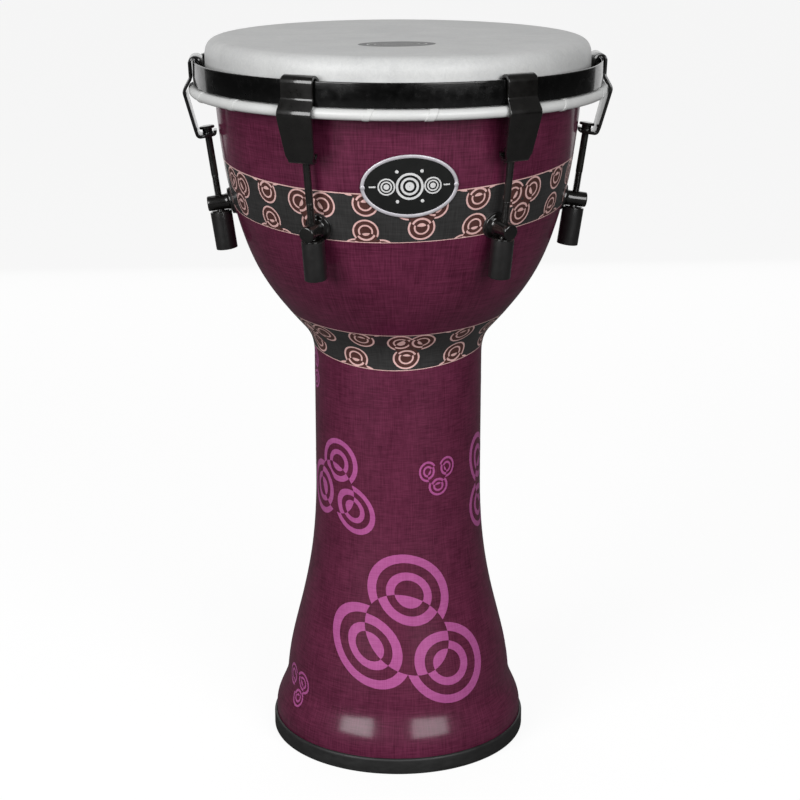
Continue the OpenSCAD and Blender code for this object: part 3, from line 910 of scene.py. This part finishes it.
def build_covers():
    top, bottom = NUT_TOP, NUT_TOP - NUT_L
    outside = [(8.45, bottom), (8.68, bottom + 0.08), (8.78, bottom + 0.2), (8.8, bottom + 0.35)] \
        + [(8.8 + 0.1 * k / 4, bottom + 0.35 + (NUT_L - 0.8) * k / 4) for k in range(1, 5)] \
        + [(8.86, top - 0.22), (8.72, top - 0.08), (8.45, top - 0.02)]
    inside = [(6.75, top - 0.02), (6.62, top - 0.15), (6.62, top - 1.25), (5.55, top - 1.25),
              (5.55, bottom + 0.5), (5.9, bottom)]
    verts, faces = lathe(outside + inside, 56)
    for i in LUGS:
        add_piece(f"cover_{i}", moved(verts, rod_matrix(i)), faces, COVER, f"nut_{i}",
                  [f"nut_sleeve_{i}"], sharp=35)


build_rods()
build_covers()

# --- badge and printed ovals ---------------------------------------------------------------------


def on_front(x, z, height):
    """A place at (x, z) on the front of the layer height above the shell."""
    s = float(np.interp(z, _line[:, 1], _s))
    for _ in range(6):
        r, zz, nr, nz = outline(s)
        s += z - (zz + nz * height)
    r, zz, nr, nz = outline(s)
    rr = r + nr * height
    return x, -math.sqrt(max(rr * rr - x * x, 0)), z


def on_badge(x, y, height):
    """A place at (x, y) from the badge's centre, in the badge's own level, height above the shell."""
    c, s = math.cos(BADGE_TURN), math.sin(BADGE_TURN)
    return on_front(x * c - y * s, BADGE_Z + x * s + y * c, height)


def oval_rows(rows, n):
    """Rows of (inset from the badge's edge, height above shell) swept round the badge's oval."""
    verts = []
    for inset, height in rows:
        for i in range(n):
            a = TAU * i / n
            verts.append(on_badge((BADGE_W / 2 - inset) * math.cos(a), (BADGE_H / 2 - inset) * math.sin(a),
                                  height))
    return verts


def build_badge():
    n = 96
    rows = [(0.9, 0.05), (0.55, 0.25), (0.55, 1.0), (0.8, 1.2)]
    verts = oval_rows(rows, n)
    inner = (0.93, 0.8, 0.62, 0.42, 0.2)
    for f in inner:
        for i in range(n):
            a = TAU * i / n
            verts.append(on_badge(f * (BADGE_W / 2 - 0.8) * math.cos(a),
                                  f * (BADGE_H / 2 - 0.8) * math.sin(a), 1.2))
    faces = quads(len(rows) + len(inner), n)
    last = len(verts) - n
    verts.append(on_badge(0, 0, 1.2))
    faces += [[last + j, last + (j + 1) % n, len(verts) - 1] for j in range(n)]
    faces.append(list(range(n))[::-1])
    add_piece("badge_face", verts, faces, ENAMEL, "shell", ["badge_plate"], sharp=35)
    ring = [(0.0, 1.2), (0.0, 1.6), (0.2, 1.85), (0.55, 2.0), (1.3, 2.05), (2.1, 2.0), (2.5, 1.8), (2.7, 1.5),
            (2.7, 1.2)]
    verts = oval_rows(ring, n)
    faces = quads(len(ring), n, closed=True)
    add_piece("badge_bezel", verts, faces, NICKEL, "shell", ["badge_rim"], sharp=50)

    dome = [(0, -6.1), (1.5, -6.1), (1.8, -5.8), (1.8, -5.3), (1.05, -5.2), (1.05, 2.05), (1.9, 2.05),
            (1.9, 2.3), (1.7, 2.58), (1.3, 2.76), (0.7, 2.84), (0, 2.86)]
    verts, faces = lathe(dome, 28)
    faces = [f for f in faces if len(f) > 2]
    reach_out = BADGE_W / 2 - 1.9
    turn, rise, tilt = math.asin(reach_out / 143.45), reach_out * math.sin(BADGE_TURN), math.radians(8.8)
    both, all_faces = [], []
    for side in (-1, 1):
        m = Matrix.Rotation(side * turn - math.pi / 2, 4, "Z") \
            @ Matrix.Translation((142.45 + side * rise * math.tan(tilt), 0, BADGE_Z + side * rise)) \
            @ Matrix.Rotation(math.pi / 2 + tilt, 4, "Y")
        all_faces += [[v + len(both) * len(verts) for v in f] for f in faces]
        both.append(moved(verts, m))
    add_piece("badge_domes", np.vstack(both), all_faces, NICKEL, "shell", ["badge_rivets"])


def ornament(circles, bars, place, name, material, body):
    """A row of ringed circles and short bars, as a thin printed sheet. place turns (x, y) into a point."""
    verts, faces = [], []

    def strip(inner, outer):
        n = len(inner)
        base = len(verts)
        verts.extend([place(*p) for p in inner] + [place(*p) for p in outer])
        faces.extend([base + j, base + (j + 1) % n, base + n + (j + 1) % n, base + n + j] for j in range(n))

    for cx, cy, rx, ry, width, n in circles:
        a = [TAU * k / n for k in range(n)]
        strip([(cx + (rx - width) * math.cos(t), cy + (ry - width) * math.sin(t)) for t in a],
              [(cx + rx * math.cos(t), cy + ry * math.sin(t)) for t in a])
    for x0, x1, y0, y1 in bars:
        k = max(2, int(abs(x1 - x0) / 2))
        base = len(verts)
        for j in range(k + 1):
            x = x0 + (x1 - x0) * j / k
            verts.extend([place(x, y0), place(x, y1)])
        faces.extend([base + 2 * j, base + 2 * j + 2, base + 2 * j + 3, base + 2 * j + 1] for j in range(k))
    bm_faces = [f if np.cross(np.subtract(verts[f[1]], verts[f[0]]), np.subtract(verts[f[2]], verts[f[0]])) @
                np.array(place.out) > 0 else f[::-1] for f in faces]
    add_piece(name, verts, bm_faces, material, body)


HEAD_PRINT, HEAD_PRINT_TURN = (-4.6, -62.0), math.radians(5.5)


def build_ornaments():
    def on_face(x, y):
        return on_badge(x, y, 1.26)
    on_face.out = (0, -1, 0)
    rows = []
    for cx, r in ((0, 10.5), (-17.5, 6.6), (17.5, 6.6)):
        for f in (1.0, 0.66, 0.32):
            rows.append((cx, 0.0, r * f, r * f, r * (0.17 if f > 0.4 else 0.30), 48))
    rows += [(cx, cy, 1.3, 1.3, 1.2, 20) for cx in (-9.4, 9.4) for cy in (-11.6, 11.6)]
    ornament(rows, [(-30.5, -25.6, -0.6, 0.6), (25.6, 30.5, -0.6, 0.6)], on_face,
             "badge_ornament", SILVER_INK, "shell")

    def on_head(x, y):
        c, s = math.cos(HEAD_PRINT_TURN), math.sin(HEAD_PRINT_TURN)
        return HEAD_PRINT[0] + x * c - y * s, HEAD_PRINT[1] + x * s + y * c, HEAD_Z + 0.05
    on_head.out = (0, 0, 1)
    rows = [(0, 0, 30.5, 18.5, 6.6, 96), (0, 0, 22.6, 10.6, 4.4, 72), (0, 0, 17.0, 5.0, 3.9, 72)]
    ornament(rows, [], on_head, "head_ornament", HEAD_INK, "head")


build_badge()
build_ornaments()

# --- CAD nodes that stay -------------------------------------------------------------------------


def finish_node(name, material):
    for material_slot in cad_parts[name].material_slots:
        material_slot.material = material


for name, material in (("lug_screws", ZINC), ("lug_backing_washers", ZINC), ("flesh_hoop", STEEL)):
    finish_node(name, material)
for i in LUGS:
    finish_node(f"tuning_nut_{i}", ZINC)
    finish_node(f"nut_washer_{i}", BLACK_ROD)
    finish_node(f"rod_washer_{i}", BLACK_ROD)

# --- stage ---------------------------------------------------------------------------------------

FLOOR_GLOW = 0.90
FLOOR_HALF = 30
ROOM_LIGHT = 0.10
FOCAL_LENGTH, SENSOR = 88.4, 36
CAMERA_AZIMUTH, CAMERA_PITCH = math.radians(-3.5), math.radians(16.21)
CAMERA_OFF_AXIS = math.radians(0.058346)
CAMERA_DISTANCE, CAMERA_HEIGHT = 1.6, 0.76
# Name, azimuth from the badge, distance, height, (width, height), watts and the height that it points at
SOFT_BOXES = [
    ("front_left", -43, 2.2, 1.2, (1.3, 1.3), 42, 0.35),
    ("front_right", 26.5, 2.2, 1.2, (1.4, 1.3), 36, 0.35),
    ("backdrop", 180, 1.9, 1.15, (3.8, 2.2), 20, 1.15),
    ("above", 180, 0.7, 2.4, (1.2, 1.0), 4, 0.6),
]


def round_the_drum(azimuth, distance, height):
    """A place in metres at an azimuth in radians from the badge."""
    return Vector((distance * math.sin(azimuth), -distance * math.cos(azimuth), height))


def add_to_scene(name, data):
    obj = bpy.data.objects.new(name, data)
    bpy.context.scene.collection.objects.link(obj)
    return obj


def build_floor():
    """White to the camera but dim as a light, so that the soft boxes shape the gloss."""
    h = FLOOR_HALF
    mesh = bpy.data.meshes.new("floor")
    mesh.from_pydata([(-h, -h, 0), (h, -h, 0), (h, h, 0), (-h, h, 0)], [], [(0, 1, 2, 3)])
    m = Nodes("floor_white")
    seen = m.node("ShaderNodeLightPath").outputs["Is Camera Ray"]
    m.set(Base_Color=(0.12, 0.12, 0.12, 1), Roughness=0.9, Specular_IOR_Level=0.1,
          Emission_Color=(1, 1, 1, 1), Emission_Strength=m.math("MULTIPLY", seen, FLOOR_GLOW))
    mesh.materials.append(m.material)
    floor = add_to_scene("floor", mesh)


def build_world():
    """Pure white to the camera, and ROOM_LIGHT to everything else."""
    world = bpy.data.worlds.new("studio")
    world.use_nodes = True
    tree = world.node_tree
    path = tree.nodes.new("ShaderNodeLightPath")
    mix = tree.nodes.new("ShaderNodeMath")
    mix.operation = "MULTIPLY_ADD"
    tree.links.new(path.outputs["Is Camera Ray"], mix.inputs[0])
    mix.inputs[1].default_value = 1.0 - ROOM_LIGHT
    mix.inputs[2].default_value = ROOM_LIGHT
    back = tree.nodes["Background"]
    back.inputs[0].default_value = (1, 1, 1, 1)
    tree.links.new(mix.outputs[0], back.inputs[1])
    bpy.context.scene.world = world


def build_lights():
    """Soft boxes that the camera doesn't see."""
    for name, azimuth, distance, height, size, power, aim in SOFT_BOXES:
        light = bpy.data.lights.new(name, "AREA")
        light.shape, light.size, light.size_y = "RECTANGLE", size[0], size[1]
        light.energy = power
        obj = add_to_scene(name, light)
        place = round_the_drum(math.radians(azimuth), distance, height)
        obj.location = place
        obj.rotation_euler = (Vector((0, 0, aim)) - place).to_track_quat("-Z", "Y").to_euler()
        obj.visible_camera = False


def build_camera():
    camera = bpy.data.cameras.new("camera")
    camera.sensor_width, camera.lens = SENSOR, FOCAL_LENGTH
    camera.clip_start, camera.clip_end = 0.05, 100
    obj = add_to_scene("camera", camera)
    obj.location = round_the_drum(CAMERA_AZIMUTH, CAMERA_DISTANCE, CAMERA_HEIGHT)
    obj.rotation_euler = (math.pi / 2 - CAMERA_PITCH, 0, CAMERA_AZIMUTH - CAMERA_OFF_AXIS)
    bpy.context.scene.camera = obj
    bpy.context.scene.view_settings.view_transform = "Standard"


build_floor()
build_world()
build_lights()
build_camera()
